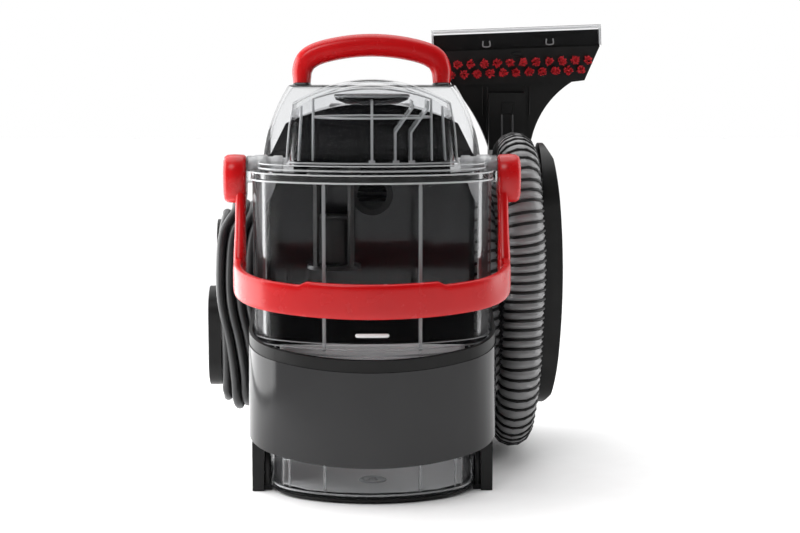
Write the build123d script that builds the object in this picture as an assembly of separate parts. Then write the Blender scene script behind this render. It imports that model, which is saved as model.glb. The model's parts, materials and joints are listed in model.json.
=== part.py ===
from build123d import *
import math
import os

# Spot extractor: a carpet spot cleaner with a lift-out dirty tank in front, a motor
# column in the middle and a lift-off clean tank behind, a suction hose wound on a
# rack at its right and the mains lead wound on two hooks at its left.
# Millimetres. X to the machine's right as seen from in front, Y to the back, Z up.
# The origin is on the floor, on the middle plane, under the motor column.

# ---- driving dimensions -------------------------------------------------------------
WALL = 2.5                      # moulded clear and black walls
FIT = 0.06                      # radial running clearance of pins and shafts

TANK_BACK = -46.0               # rear face of the dirty tank
TANK_LOW_HALF, TANK_LOW_FRONT = 80.0, -172.0
TANK_UP_HALF, TANK_UP_FRONT = 93.0, -168.0
TANK_BOTTOM, TANK_STEP, TANK_TOP = 3.5, 108.0, 250.0

SKIRT_HALF, SKIRT_FRONT = 97.0, -176.0
SKIRT_RISE = 0.258              # how fast the skirt's edges climb towards the back
SKIRT_LOW, SKIRT_HIGH, COLLAR_HIGH = 29.0, 102.0, 111.0
SKIRT_END = -52.0

LID_HALF, LID_FRONT = 87.0, -160.0
LID_SEAT, LID_DECK, LID_CROWN = 250.3, 256.0, 320.0
CHAMBER_FOOT, CHAMBER_SHOULDER = 66.0, 60.0
CHAMBER_FRONT, CHAMBER_BACK = -150.0, -52.0
FLOAT_X, FLOAT_Y = -30.0, -96.0

PIVOT_Y, PIVOT_Z = -88.0, 253.0
BAIL_HALF, BAIL_FRONT, BAIL_THICK = 107.0, -200.0, 7.0
BAIL_LOW, BAIL_HIGH, BAIL_RISE = 144.5, 168.5, 0.18
HEAD_IN, HEAD_OUT, PIN_R = 98.8, 117.0, 4.0

COLUMN_HALF, COLUMN_FRONT, COLUMN_BACK, COLUMN_SPLIT = 64.0, -44.0, 75.0, 15.0
COLUMN_FOOT, COLUMN_TOP, COLUMN_CROWN = 22.0, 250.0, 300.0
SHOULDER_HALF = 84.0
BUTTON_X, BUTTON_Y, BUTTON_TOP = (-24.0, 24.0), 48.0, 298.0

CLEAN_HALF, CLEAN_FRONT, CLEAN_BACK = 97.0, 80.0, 147.0
CLEAN_FOOT, CLEAN_SIDE, CLEAN_TOP = 24.0, 238.0, 313.0
CLEAN_CROWN_HALF = 74.0
CLEAN_FRONT_ROUND, CLEAN_REAR_ROUND = 15.0, 30.0
CLEAN_OVER = 3.0                # the rounds start this far above the flat top
CAP_Y = 113.0

HANDLE_TOP, HANDLE_UNDER = 359.0, 338.0
HANDLE_OUT, HANDLE_IN = 70.5, 55.0
HANDLE_Y0, HANDLE_Y1 = 94.0, 118.0

MOTOR_Y, MOTOR_R = 12.0, 38.0

HOSE_D = 35.0
PORT_Y, PORT_Z = 50.0, 58.0             # where the suction port leaves the column
TURN_TOP = (214.0, 257.0)               # top of the inner and of the outer turn
TURN_BACK = (60.0, 73.0)                # rear of the inner and of the outer turn
HUB_Y, HUB_LOW, HUB_HIGH, HUB_R = 18.0, 77.0, 170.0, 19.0
FLANGE_IN, FLANGE_RIM, FLANGE_END, FLANGE_MID = 141.5, 145.5, 152.0, 159.0
FLANGE_BEVEL = 12.0
FLANGE_LOW, FLANGE_HIGH = 41.0, 265.0
CLIP_ARM_X = 148.15

GRIP_X, GRIP_LOW_Y, GRIP_LOW_Z = 126.0, 121.0, 118.0
NECK_Y, NECK_LOW, NECK_HIGH = 172.0, 238.0, 303.0
GRIP_TILT = math.degrees(math.atan2(NECK_Y - GRIP_LOW_Y, NECK_LOW - GRIP_LOW_Z))
GRIP_LENGTH = math.hypot(NECK_Y - GRIP_LOW_Y, NECK_LOW - GRIP_LOW_Z)
TOOL_TILT = 2.2                         # degrees the tool's head leans sideways
TOOL_TOP = 361.0
TUFT_ROWS = ((333.0, 79.4), (324.0, 72.8))   # height and first tuft of each row
TUFT_STEP = 12.13

CORD_D = 7.6
HOOK_Y, HOOK_LOW_Z, HOOK_HIGH_Z, HOOK_R = 10.0, 85.0, 186.0, 13.0
HANK_IN, HANK_OUT = 15.0, 37.0          # inner and outer radius of the wound lead
HANK_X0, HANK_X1 = -127.0, -74.0
HANK_LOW_Z = 75.0                       # the wound lead hangs slack on the lower hook
LEAD_ROUTE = [(-83.5, 62, 201), (-97, 63, 184), (-104, 61, 160), (-105, 53.5, 137),
              (-105, HOOK_Y + HANK_OUT + 0.05, 119)]
TAIL_ROUTE = [(-88, HOOK_Y + HANK_OUT + 0.05, 178), (-88, 55, 160), (-88, 61, 138),
              (-88, 62, 112)]

os.makedirs("parts", exist_ok=True)


def save(name, shape):
    """Write one node; a list of solids becomes one compound."""
    if isinstance(shape, (list, tuple)):
        shape = Compound(children=list(shape))
    shape.label = name
    export_step(shape, f"parts/{name}.step")


def plan(half, front, back, big, small, z=0.0):
    """A tank's plan: a bowed front of radius big, round corners and straight sides."""
    cx = half - small
    cy = front + big - math.sqrt((big - small) ** 2 - cx**2)
    tx = big * cx / (big - small)
    ty = front + big - big * (front + big - cy) / (big - small)
    mid = math.atan2(-(front + big - ty), tx) / 2
    mx, my = cx + small * math.cos(mid), cy + small * math.sin(mid)
    edges = [
        ThreePointArc((-tx, ty), (0, front), (tx, ty)),
        ThreePointArc((tx, ty), (mx, my), (half, cy)),
        Line((half, cy), (half, back)),
        Line((half, back), (-half, back)),
        Line((-half, back), (-half, cy)),
        ThreePointArc((-half, cy), (-mx, my), (-tx, ty)),
    ]
    return Pos(0, 0, z) * make_face(edges)


def prism(face, height):
    return extrude(face, amount=height, dir=(0, 0, 1))


def box(x0, x1, y0, y1, z0, z1):
    size = (x1 - x0, y1 - y0, z1 - z0)
    return Pos((x0 + x1) / 2, (y0 + y1) / 2, (z0 + z1) / 2) * Box(*size)


def disc(x, y, z0, z1, r):
    return Pos(x, y, (z0 + z1) / 2) * Cylinder(r, z1 - z0)


def rod_x(x0, x1, y, z, r):
    return Pos((x0 + x1) / 2, y, z) * Rot(0, 90, 0) * Cylinder(r, abs(x1 - x0))


def rod_y(x, y0, y1, z, r):
    return Pos(x, (y0 + y1) / 2, z) * Rot(90, 0, 0) * Cylinder(r, abs(y1 - y0))


def outline_xz(points, y0, y1):
    """A closed straight-sided outline given as (x, z), from y0 to y1."""
    face = make_face(Polyline(*[(x, y0, z) for x, z in points], close=True))
    return extrude(face, amount=y1 - y0, dir=(0, 1, 0))


def outline_yz(points, x0, x1):
    """A closed straight-sided outline given as (y, z), from x0 to x1."""
    face = make_face(Polyline(*[(x0, y, z) for y, z in points], close=True))
    return extrude(face, amount=x1 - x0, dir=(1, 0, 0))


def stadium_x(x0, x1, y, z_low, z_high, r):
    """An upright racetrack about the two centres z_low and z_high, from x0 to x1."""
    ends = rod_x(x0, x1, y, z_low, r) + rod_x(x0, x1, y, z_high, r)
    return ends + box(x0, x1, y - r, y + r, z_low, z_high)


def rounded_top(y0, y1, z0, z1, front, rear):
    """A wide block whose upper front and upper rear edges are rounded."""
    block = box(-120, 120, y0, y1, z0, z1)
    top = block.edges().filter_by(Axis.X).group_by(Axis.Z)[-1].sort_by(Axis.Y)
    block = fillet(top[0], front)
    top = block.edges().filter_by(Axis.X).filter_by(lambda e: abs(e.center().Z - z1) < 0.01)
    return fillet(top.sort_by(Axis.Y)[-1], rear)


def tube(points, diameter):
    """A plain tube of straight runs and tangent arcs, with its radii and length."""
    pts = [Vector(*p) for p in points]
    radii = []
    for a, b, c in zip(pts, pts[1:], pts[2:]):
        turn = math.radians((b - a).get_angle(c - b))
        radii.append(0.45 * min((b - a).length, (c - b).length) / math.tan(turn / 2))
    path = FilletPolyline(*pts, radius=radii)
    start = Plane(origin=pts[0], z_dir=pts[1] - pts[0])
    solid = sweep(start * Circle(diameter / 2), path=path)
    section = math.pi * diameter**2 / 4
    print("radii", [round(r) for r in radii], "length", round(path.length),
          "volume ratio", round(solid.volume / (section * path.length), 4))
    return solid


# ---- base, skirt and column ---------------------------------------------------------
def base_tray():
    """The floor plate: thin under the dirty tank, with two cheeks that carry the skirt,
    narrow between the hose and cord bays, and wide under the clean tank."""
    front = prism(plan(77, -169.5, COLUMN_FRONT, 105, 43, 1.5), 1.6)
    middle = box(-COLUMN_HALF, COLUMN_HALF, COLUMN_FRONT, 78, 1.5, 22)
    rear = Rot(0, 0, 180) * prism(plan(CLEAN_HALF, -CLEAN_BACK, -78, 240, 40, 4), 18)
    rear -= box(-60, 60, 84, 141, 12, 22.1)
    middle -= box(-58, 58, -38, 72, 6, 22.1)
    tray = front + middle + rear
    for side in (-1, 1):
        cheek = outline_yz([(-128, 0), (-50, 0), (-50, 58.5), (-123, 39.5), (-128, 38)], 0, 9)
        cheek = Pos(85 if side > 0 else -94, 0, 0) * cheek
        foot = box(79, 85, -124, -50, 0, 4) if side > 0 else box(-85, -79, -124, -50, 0, 4)
        link = box(60, 85, -60, -50, 1.5, 12) if side > 0 else box(-85, -60, -60, -50, 1.5, 12)
        tray += cheek + foot + link
    tank_space = prism(plan(TANK_LOW_HALF + 1, TANK_LOW_FRONT - 1, TANK_BACK + 1, 106, 46, 3.1), 80)
    return tray - tank_space


def slanted_band(low, high):
    """Everything between two planes that climb towards the back."""
    front, end = SKIRT_FRONT - 10, SKIRT_END
    rise = SKIRT_RISE * (end - SKIRT_FRONT)
    drop = SKIRT_RISE * 10
    return outline_yz([(front, low - drop), (end, low + rise), (end, high + rise),
                       (front, high - drop)], -120, 120)


def skirt_ring(outer_half, outer_front, wall):
    outer = prism(plan(outer_half, outer_front, SKIRT_END, 135, 48), 200)
    inner = prism(plan(outer_half - wall, outer_front + wall, SKIRT_END + 1, 132.5, 46), 200)
    return outer - inner


def front_skirt():
    """Glossy band round the front; its ends overlap the cheeks from outside."""
    band = skirt_ring(SKIRT_HALF, SKIRT_FRONT, 2.8) & slanted_band(SKIRT_LOW, SKIRT_HIGH)
    return band


def skirt_collar():
    """The bevelled dark collar on the skirt's upper edge."""
    ring = skirt_ring(SKIRT_HALF - 0.6, SKIRT_FRONT + 0.6, 2.6)
    return ring & slanted_band(SKIRT_HIGH + 0.05, COLLAR_HIGH)


def feet():
    pads = []
    for x, y in ((-70, 92), (70, 92), (-60, 128), (60, 128)):
        pads.append(disc(x, y, 0, 3.95, 9))
    for x in (-45, 0, 45):
        pads.append(disc(x, 0, 0, 1.45, 8))
    return pads


def column_shell(y0, y1, open_side):
    """Half of the column's casing, open towards the split and at its top and foot."""
    outer = box(-COLUMN_HALF, COLUMN_HALF, y0, y1, COLUMN_FOOT + 0.05, COLUMN_TOP)
    outer = fillet(outer.edges().filter_by(Axis.Z), 6)
    inner_y0, inner_y1 = (y0 + WALL, y1 + 20) if open_side > 0 else (y0 - 20, y1 - WALL)
    edge = COLUMN_HALF - WALL
    outer = outer + box(-COLUMN_HALF, COLUMN_HALF, y1 - 8 if open_side > 0 else y0,
                        y1 if open_side > 0 else y0 + 8, COLUMN_FOOT + 0.05, COLUMN_TOP)
    return outer - box(-edge, edge, inner_y0, inner_y1, COLUMN_FOOT - 1, COLUMN_TOP + 1)


def column_front_shell():
    shell = column_shell(COLUMN_FRONT, COLUMN_SPLIT, 1)
    bulkhead = box(-SHOULDER_HALF, SHOULDER_HALF, COLUMN_FRONT, COLUMN_FRONT + 3.5, 24, COLUMN_TOP)
    shell += fillet(bulkhead.edges().filter_by(Axis.Y), 9)
    return shell - rod_y(0, COLUMN_FRONT - 1, COLUMN_FRONT + 5, 226, 12)


def column_rear_shell():
    shell = column_shell(COLUMN_SPLIT + 0.1, COLUMN_BACK, -1)
    shell -= rod_x(COLUMN_HALF - 5, COLUMN_HALF + 5, PORT_Y, PORT_Z, 14)
    shell -= rod_x(-COLUMN_HALF - 5, -COLUMN_HALF + 5, 60, 222, 5.2)
    for z in (150, 160, 170, 180, 190):
        shell -= box(-30, 30, COLUMN_BACK - 5, COLUMN_BACK + 5, z, z + 5)
    return shell


def arch(half_low, half_high, z_low, z_mid, crown, y0, y1):
    edges = [
        Line((-half_low, y0, z_low), (-half_high, y0, z_mid)),
        ThreePointArc((-half_high, y0, z_mid), (0, y0, crown), (half_high, y0, z_mid)),
        Line((half_high, y0, z_mid), (half_low, y0, z_low)),
        Line((half_low, y0, z_low), (-half_low, y0, z_low)),
    ]
    return extrude(make_face(edges), amount=y1 - y0, dir=(0, 1, 0))


def column_cap():
    """The arched top with a wider brow in front, and wells for the two buttons."""
    z0 = COLUMN_TOP + 0.1
    cap = arch(COLUMN_HALF, COLUMN_HALF, z0, 286, COLUMN_CROWN, COLUMN_FRONT, COLUMN_BACK)
    brow = arch(SHOULDER_HALF, 70, 256, 284, COLUMN_CROWN, COLUMN_FRONT, -31)
    cap += brow
    cap -= arch(COLUMN_HALF - WALL, COLUMN_HALF - WALL, z0 - 1, 283, COLUMN_CROWN - 3,
                COLUMN_FRONT + WALL, COLUMN_BACK - WALL)
    for x in BUTTON_X:
        cap += box(x - 17, x + 17, BUTTON_Y - 13, BUTTON_Y + 13, 284, 292)
        cap -= box(x - 13, x + 13, BUTTON_Y - 9, BUTTON_Y + 9, 280, 310)
    return cap



def rocker(x):
    """A press button: a crowned cap on a stem."""
    cap = box(x - 12.6, x + 12.6, BUTTON_Y - 8.6, BUTTON_Y + 8.6, 286, BUTTON_TOP)
    cap = fillet(cap.edges().group_by(Axis.Z)[-1], 2)
    return cap + disc(x, BUTTON_Y, 278.2, 286, 3)


def switch_block():
    """Two micro-switches on one bracket under the buttons."""
    plate = box(-44, 44, BUTTON_Y - 9, BUTTON_Y + 9, 258, 262)
    for x in BUTTON_X:
        plate += box(x - 9, x + 9, BUTTON_Y - 7, BUTTON_Y + 7, 262, 274)
    return plate + box(-61.4, -44, BUTTON_Y - 5, BUTTON_Y + 5, 258, 262)


def duct_gasket():
    ring = rod_y(0, COLUMN_FRONT - 1.4, COLUMN_FRONT - 0.05, 226, 17)
    return ring - rod_y(0, COLUMN_FRONT - 3, COLUMN_FRONT + 1, 226, 12)


def shell_screws():
    """Screws that hold the column's halves: heads sunk in the rear shell's face."""
    return [rod_y(x, COLUMN_BACK + 0.05, COLUMN_BACK + 2.4, z, 3.5)
            for x in (-48, 48) for z in (60, 236)]


# ---- inside the column --------------------------------------------------------------
def vacuum_motor():
    body = disc(0, MOTOR_Y, 104, 182, MOTOR_R) + disc(0, MOTOR_Y, 94, 104, 16)
    return body - disc(0, MOTOR_Y, 90, 190, 4.5)


def motor_mount():
    """Rubber cradle between the motor's foot and the base."""
    ring = disc(0, MOTOR_Y, 84, 104 - 0.05, 46) - disc(0, MOTOR_Y, 80, 110, 17)
    for x in (-36, 36):
        ring += box(x - 5, x + 5, MOTOR_Y - 5, MOTOR_Y + 5, 6.05, 85)
    return ring


def motor_shaft():
    return disc(0, MOTOR_Y, 98, 214, 4) - disc(0, MOTOR_Y, 90, 99, 1)


def impeller():
    """Two-plate suction fan with swept vanes, pressed on the shaft."""
    wheel = disc(0, MOTOR_Y, 196, 198.4, 42) + disc(0, MOTOR_Y, 208, 210, 42)
    wheel -= disc(0, MOTOR_Y, 207, 211, 18)
    wheel += disc(0, MOTOR_Y, 196, 210, 9)
    for k in range(9):
        vane = Pos(25, 0, 203.2) * Rot(0, 0, 22) * Box(30, 1.6, 9.9)
        wheel += Pos(0, MOTOR_Y, 0) * Rot(0, 0, 40 * k) * vane
    return wheel - disc(0, MOTOR_Y, 190, 214, 4)


def fan_housing():
    """The cup round the fan, with its eye on top."""
    cup = disc(0, MOTOR_Y, 186, 220, 50) - disc(0, MOTOR_Y, 189, 217, 46)
    cup -= disc(0, MOTOR_Y, 180, 190, 12)
    cup -= disc(0, MOTOR_Y, 216, 230, 16)
    return cup


def water_pump():
    body = disc(-40, 50, 6.1, 62, 15) + disc(-40, 50, 62, 70, 8)
    return body + rod_y(-40, 50, 68, 40, 4)


def heater_block():
    block = box(24, 56, 38, 62, 6.05, 84) - box(20, 60, 30, 41, 30, 60)
    for z in (20, 34, 48, 62, 76):
        block += box(24, 56, 62, 66, z, z + 3)
    return block


# ---- dirty tank ---------------------------------------------------------------------
def dirty_tank():
    """Clear tank: a narrow well below the skirt's edge and a wide body above it."""
    low = plan(TANK_LOW_HALF, TANK_LOW_FRONT + 2, TANK_BACK, 105, 45, TANK_BOTTOM)
    well = prism(low, TANK_STEP + 4 - TANK_BOTTOM)
    up = prism(plan(TANK_UP_HALF, TANK_UP_FRONT, TANK_BACK, 130, 45, TANK_STEP), 142)
    up = fillet(up.edges().filter_by(lambda e: abs(e.center().Z - TANK_STEP) < 0.01), 9)
    rim = prism(plan(TANK_UP_HALF + 1, TANK_UP_FRONT - 1, TANK_BACK, 131, 46, 244), 6)
    solid = well + up + rim
    for side in (-1, 1):
        boss = rod_x(side * 84, side * 98.2, PIVOT_Y, PIVOT_Z - 6.5, 7.5)
        ear = box(min(side * 90, side * 98.2), max(side * 90, side * 98.2),
                  PIVOT_Y - 9, PIVOT_Y + 9, 240, PIVOT_Z + 7)
        solid += boss + ear
    hollow_low = prism(plan(TANK_LOW_HALF - WALL, TANK_LOW_FRONT + 4.5, TANK_BACK - WALL,
                            102.5, 42.5, TANK_BOTTOM + WALL), 120)
    hollow_up = prism(plan(TANK_UP_HALF - WALL, TANK_UP_FRONT + WALL, TANK_BACK - WALL,
                           127.5, 42.5, TANK_STEP + WALL), 150)
    mouth = fillet(hollow_up.edges().filter_by(
        lambda e: abs(e.center().Z - TANK_STEP - WALL) < 0.01), 7)
    solid -= hollow_low + mouth
    for x in (-36.4, 36.4):
        solid += box(x - 1.2, x + 1.2, -160, -155, 8, 244) & prism(
            plan(90.5, -165.5, -48.5, 127.5, 42.5, 3.5), 245)
    for side in (-1, 1):
        solid -= rod_x(side * 89, side * 100, PIVOT_Y, PIVOT_Z, PIN_R)
    return solid


def bail_pins():
    return [rod_x(side * 89.5, side * 112, PIVOT_Y, PIVOT_Z, PIN_R - 0.001)
            for side in (-1, 1)]


def bail():
    """Red swinging handle: a bowed bar in front, two arms and two pivot heads."""
    inner = (BAIL_HALF - BAIL_THICK, BAIL_FRONT + BAIL_THICK, -99, 153, 53, BAIL_LOW - 5)
    outer = plan(BAIL_HALF, BAIL_FRONT, -100, 160, 60, BAIL_LOW - 2)
    hoop = prism(outer, 55) - prism(plan(*inner), 80)
    climb = BAIL_RISE * 110
    hoop &= outline_yz([(-205, BAIL_LOW), (-95, BAIL_LOW + climb), (-95, BAIL_HIGH + climb),
                        (-205, BAIL_HIGH)], -120, 120)
    for side in (-1, 1):
        arm = outline_yz([(-122, 163), (-100, 167), (-100, 186), (-80, 236), (-80, 262),
                          (-96, 262), (-110, 204), (-122, 182)], 0, 8)
        head = rod_x(0, HEAD_OUT - HEAD_IN, PIVOT_Y, PIVOT_Z - 8, 17)
        head += box(0, HEAD_OUT - HEAD_IN, PIVOT_Y - 14, PIVOT_Y + 14,
                    PIVOT_Z - 20, PIVOT_Z + 8)
        shift = HEAD_IN if side > 0 else -HEAD_OUT
        arm_shift = HEAD_IN if side > 0 else -HEAD_IN - 8
        hoop += Pos(arm_shift, 0, 0) * arm + Pos(shift, 0, 0) * head
    for side in (-1, 1):
        hoop -= rod_x(side * 98, side * 112.5, PIVOT_Y, PIVOT_Z, PIN_R + FIT)
    return hoop


def chamber(wall, y0, y1, crown):
    foot, shoulder = CHAMBER_FOOT - wall, CHAMBER_SHOULDER - wall
    solid = arch(foot, shoulder, LID_DECK - 0.2, 303 - wall, crown, y0, y1)
    limit = prism(plan(CHAMBER_FOOT + 2 - wall, y0, y1 + 1, 130 - wall, 26, 240), 100)
    return solid & limit & rounded_top(y0, y1, 240, crown, 15 - wall, 15 - wall)


def tank_lid():
    """Clear lid: a deck that plugs the tank's mouth and a domed settling chamber."""
    deck = prism(plan(LID_HALF, LID_FRONT, TANK_BACK - 3, 124, 39, LID_SEAT), 5.7)
    plug = prism(plan(LID_HALF, LID_FRONT, TANK_BACK - 5, 124, 39, 243), 8)
    plug -= prism(plan(LID_HALF - 3, LID_FRONT + 3, TANK_BACK - 8, 121, 36, 240), 12)
    lid = deck + plug + chamber(0, CHAMBER_FRONT, CHAMBER_BACK, LID_CROWN)
    lid -= Pos(0, 0, -2) * chamber(2.4, CHAMBER_FRONT + 2.4, CHAMBER_BACK - 2.4, LID_CROWN - 2.4)
    lid -= box(-57, 57, -138, -56, 249, 257)
    return lid


def lid_baffles():
    """Two bent plates and two straight ribs that knock the water out of the air."""
    plates = []
    for x in (18, 30):
        low = box(x - 0.8, x + 0.8, -130, -70, 256.5, 280)
        lean = outline_xz([(x - 0.8, 280), (x + 0.8, 280), (x + 13.6, 298), (x + 12.0, 298)],
                          -130, -70)
        plates.append(low + lean + box(x + 12.0, x + 13.6, -130, -70, 298, 304))
    plates.append(box(-1, 1, -130, -70, 256.5, 304))
    return [p + box(x0, x0 + 5, -128, -120, 256.3, 258.5)
            for p, x0 in zip(plates, (16, 28, -2.5))]


def lid_gasket():
    ring = prism(plan(LID_HALF + 2.6, LID_FRONT - 2.6, TANK_BACK - 2.6, 126.6, 41.6, 244), 3.5)
    ring -= prism(plan(LID_HALF + 0.02, LID_FRONT - 0.02, TANK_BACK - 4.98, 124, 39, 240), 12)
    return ring




def float_cage():
    """Four bars and two rings that hang from the lid and guide the float."""
    cage = disc(FLOAT_X, FLOAT_Y, 172, 175, 21) - disc(FLOAT_X, FLOAT_Y, 170, 176, 10)
    cage += disc(FLOAT_X, FLOAT_Y, 245, 250.2, 21) - disc(FLOAT_X, FLOAT_Y, 240, 256, 12)
    for k in range(4):
        cage += Pos(FLOAT_X, FLOAT_Y, 211) * Rot(0, 0, 90 * k + 45) * Pos(19, 0, 0) * Box(3, 4, 74)
    return cage


def tank_float():
    ball = disc(FLOAT_X, FLOAT_Y, 175.3, 214, 15.5)
    return fillet(ball.edges(), 4)


# ---- clean tank ---------------------------------------------------------------------
def dome(inset):
    """The clean tank's form: a rounded front view crossed with a rounded plan."""
    half, crown = CLEAN_HALF - inset, CLEAN_CROWN_HALF - inset
    z0, z1 = CLEAN_FOOT + inset, CLEAN_TOP - inset
    edges = [
        Line((-half, 0, z0), (-half, 0, CLEAN_SIDE)),
        ThreePointArc((-half, 0, CLEAN_SIDE), (-half + 6.5, 0, 277), (-crown, 0, z1)),
        Line((-crown, 0, z1), (crown, 0, z1)),
        ThreePointArc((crown, 0, z1), (half - 6.5, 0, 277), (half, 0, CLEAN_SIDE)),
        Line((half, 0, CLEAN_SIDE), (half, 0, z0)),
        Line((half, 0, z0), (-half, 0, z0)),
    ]
    front = extrude(make_face(edges), amount=200, dir=(0, 1, 0))
    shape = prism(plan(half, -CLEAN_BACK + inset, -CLEAN_FRONT + 5, 240, 40 - inset), 400)
    y0, y1 = CLEAN_FRONT + inset, CLEAN_BACK - inset + 1.5
    front_round, rear_round = CLEAN_FRONT_ROUND - inset, CLEAN_REAR_ROUND - inset
    side = rounded_top(y0, y1, z0 - 5, z1 + CLEAN_OVER, front_round, rear_round)
    return front & (Rot(0, 0, 180) * shape) & side


def clean_tank():
    tank = dome(0) - dome(WALL)
    tank += disc(0, CAP_Y, CLEAN_FOOT, 40, 23)
    return tank - disc(0, CAP_Y, CLEAN_FOOT - 1, 60, 19)


def clean_tank_cap():
    """Screw cap under the clean tank, with the valve's bore and a spring seat."""
    cap = disc(0, CAP_Y, 13, CLEAN_FOOT - 0.3, 24) + disc(0, CAP_Y, 20, 38, 18.6)
    cap -= disc(0, CAP_Y, 10, 40, 5.06)
    return cap


def cap_valve():
    """Poppet valve: lifted by the base when the tank is seated."""
    return disc(0, CAP_Y, 12.8, 46, 5) + disc(0, CAP_Y, 46, 49, 9)


def carry_handle():
    """Red loop handle: thick bowed grip on two short legs."""
    outer = [
        Line((-HANDLE_OUT, 0, CLEAN_TOP), (-HANDLE_OUT, 0, 324)),
        ThreePointArc((-HANDLE_OUT, 0, 324), (-62, 0, 339), (-44, 0, 348)),
        ThreePointArc((-44, 0, 348), (0, 0, HANDLE_TOP), (44, 0, 348)),
        ThreePointArc((44, 0, 348), (62, 0, 339), (HANDLE_OUT, 0, 324)),
        Line((HANDLE_OUT, 0, 324), (HANDLE_OUT, 0, CLEAN_TOP)),
        Line((HANDLE_OUT, 0, CLEAN_TOP), (-HANDLE_OUT, 0, CLEAN_TOP)),
    ]
    inner = [
        Line((-HANDLE_IN, 0, 300), (-HANDLE_IN, 0, 318)),
        ThreePointArc((-HANDLE_IN, 0, 318), (-51, 0, 326), (-42, 0, 331)),
        ThreePointArc((-42, 0, 331), (0, 0, HANDLE_UNDER), (42, 0, 331)),
        ThreePointArc((42, 0, 331), (51, 0, 326), (HANDLE_IN, 0, 318)),
        Line((HANDLE_IN, 0, 318), (HANDLE_IN, 0, 300)),
        Line((HANDLE_IN, 0, 300), (-HANDLE_IN, 0, 300)),
    ]
    body = extrude(make_face(outer), amount=HANDLE_Y1 - HANDLE_Y0, dir=(0, 1, 0))
    gap = extrude(make_face(inner), amount=HANDLE_Y1 - HANDLE_Y0 + 2, dir=(0, 1, 0))
    return Pos(0, HANDLE_Y0, 0) * (body - Pos(0, -1, 0) * gap)


# ---- hose, rack and grip ------------------------------------------------------------
def hose_route():
    """Centreline from the port elbow, twice round the hub and up into the grip."""
    points = [(86, 59, 69), (86, 60, 100)]
    turns = ((86, -20, TURN_BACK[0], TURN_TOP[0]), (121, -50, TURN_BACK[1], TURN_TOP[1]))
    for k, (x, y_front, y_back, top) in enumerate(turns):
        y_mid = (y_front + y_back) / 2
        half = (y_back - y_front) / 2
        reach = half * 1.04
        xo = x + 2
        points += [
            (x, y_back, top - 88), (x, y_mid + reach, top - 44),
            (x, y_mid + 0.62 * half, top), (x, y_mid - 0.62 * half, top),
            (xo, y_mid - reach, top - 44), (xo + 3, y_front, top - 88),
        ]
        if k == 0:
            points += [(x + 4, y_front - 2, 78), (x + 9, y_front + 14, 36),
                       (x + 19, y_front + 52, 22), (x + 34, y_back, 40),
                       (x + 34, y_back + 12, 78), (x + 35, y_back + 12, 122)]
    points += [(124, -50, 124), (122, -52, 76), (118, -34, 34), (119, 10, 20), (122, 62, 22),
               (125, 101, 47), (GRIP_X, 116, 88), (GRIP_X, GRIP_LOW_Y, GRIP_LOW_Z)]
    return points


def hose_port_elbow():
    """The column's suction outlet: a sleeve out of the side and a socket facing up."""
    elbow = rod_x(60, 84, PORT_Y, PORT_Z, 13.5) + disc(86, 59, 46, 69, 14.5)
    return elbow - disc(86, 59, 50, 70, 11)


def hose_rack_hub():
    hub = stadium_x(COLUMN_HALF + 0.05, FLANGE_IN - 0.05, HUB_Y, HUB_LOW, HUB_HIGH, HUB_R)
    core = stadium_x(COLUMN_HALF + 3, FLANGE_IN + 1, HUB_Y, HUB_LOW, HUB_HIGH, HUB_R - 3)
    return hub - core


def hose_rack_flange():
    """Bowed outer plate of the rack with an arm that runs back to the tool clip."""
    y0, y1 = -27, 72
    mid = (FLANGE_LOW + FLANGE_HIGH) / 2
    edges = [
        Line((FLANGE_IN, y0, FLANGE_LOW), (FLANGE_IN, y0, FLANGE_HIGH)),
        Line((FLANGE_IN, y0, FLANGE_HIGH), (FLANGE_RIM, y0, FLANGE_HIGH)),
        Line((FLANGE_RIM, y0, FLANGE_HIGH), (FLANGE_END, y0, FLANGE_HIGH - FLANGE_BEVEL)),
        ThreePointArc((FLANGE_END, y0, FLANGE_HIGH - FLANGE_BEVEL), (FLANGE_MID, y0, mid),
                      (FLANGE_END, y0, FLANGE_LOW + FLANGE_BEVEL)),
        Line((FLANGE_END, y0, FLANGE_LOW + FLANGE_BEVEL), (FLANGE_RIM, y0, FLANGE_LOW)),
        Line((FLANGE_RIM, y0, FLANGE_LOW), (FLANGE_IN, y0, FLANGE_LOW)),
    ]
    plate = extrude(make_face(edges), amount=y1 - y0, dir=(0, 1, 0))
    r = (y1 - y0) / 2
    shape = stadium_x(130, 170, (y0 + y1) / 2, FLANGE_LOW + r, FLANGE_HIGH - r, r)
    plate = plate & shape
    return plate + box(CLIP_ARM_X, CLIP_ARM_X + 5, 60, 172, 213, 230)




def on_grip(shape):
    """Place a shape drawn about +Z at the origin on the grip's leaning axis."""
    return Pos(GRIP_X, GRIP_LOW_Y, GRIP_LOW_Z) * Rot(-GRIP_TILT, 0, 0) * shape


def tool_clip():
    """A springy C that holds the grip against the rack's arm."""
    ring = Cylinder(22.1, 13) - Cylinder(18.9, 14)
    ring -= Pos(-20, 0, 0) * Box(24, 26, 14)
    return on_grip(Pos(0, 0, 112) * ring)


def hose_cuff():
    """Ribbed sleeve where the hose enters the grip."""
    ring = Pos(0, 0, 14) * (Cylinder(19.5, 27) - Cylinder(17.6, 30))
    return on_grip(ring)


def grip_half(side):
    body = Pos(0, 0, 75) * Cylinder(18.5, 94)
    body += Pos(0, 0, 122 + (GRIP_LENGTH - 122) / 2) * Cylinder(16.5, GRIP_LENGTH - 122)
    body -= Pos(0, 0, 70) * Cylinder(14.5, 200)
    body -= Pos(0, 18, 76) * Box(9, 30, 52)
    half = Pos(side * 20.05, 0, 75) * Box(40, 80, 200)
    return on_grip(body & half)


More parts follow.
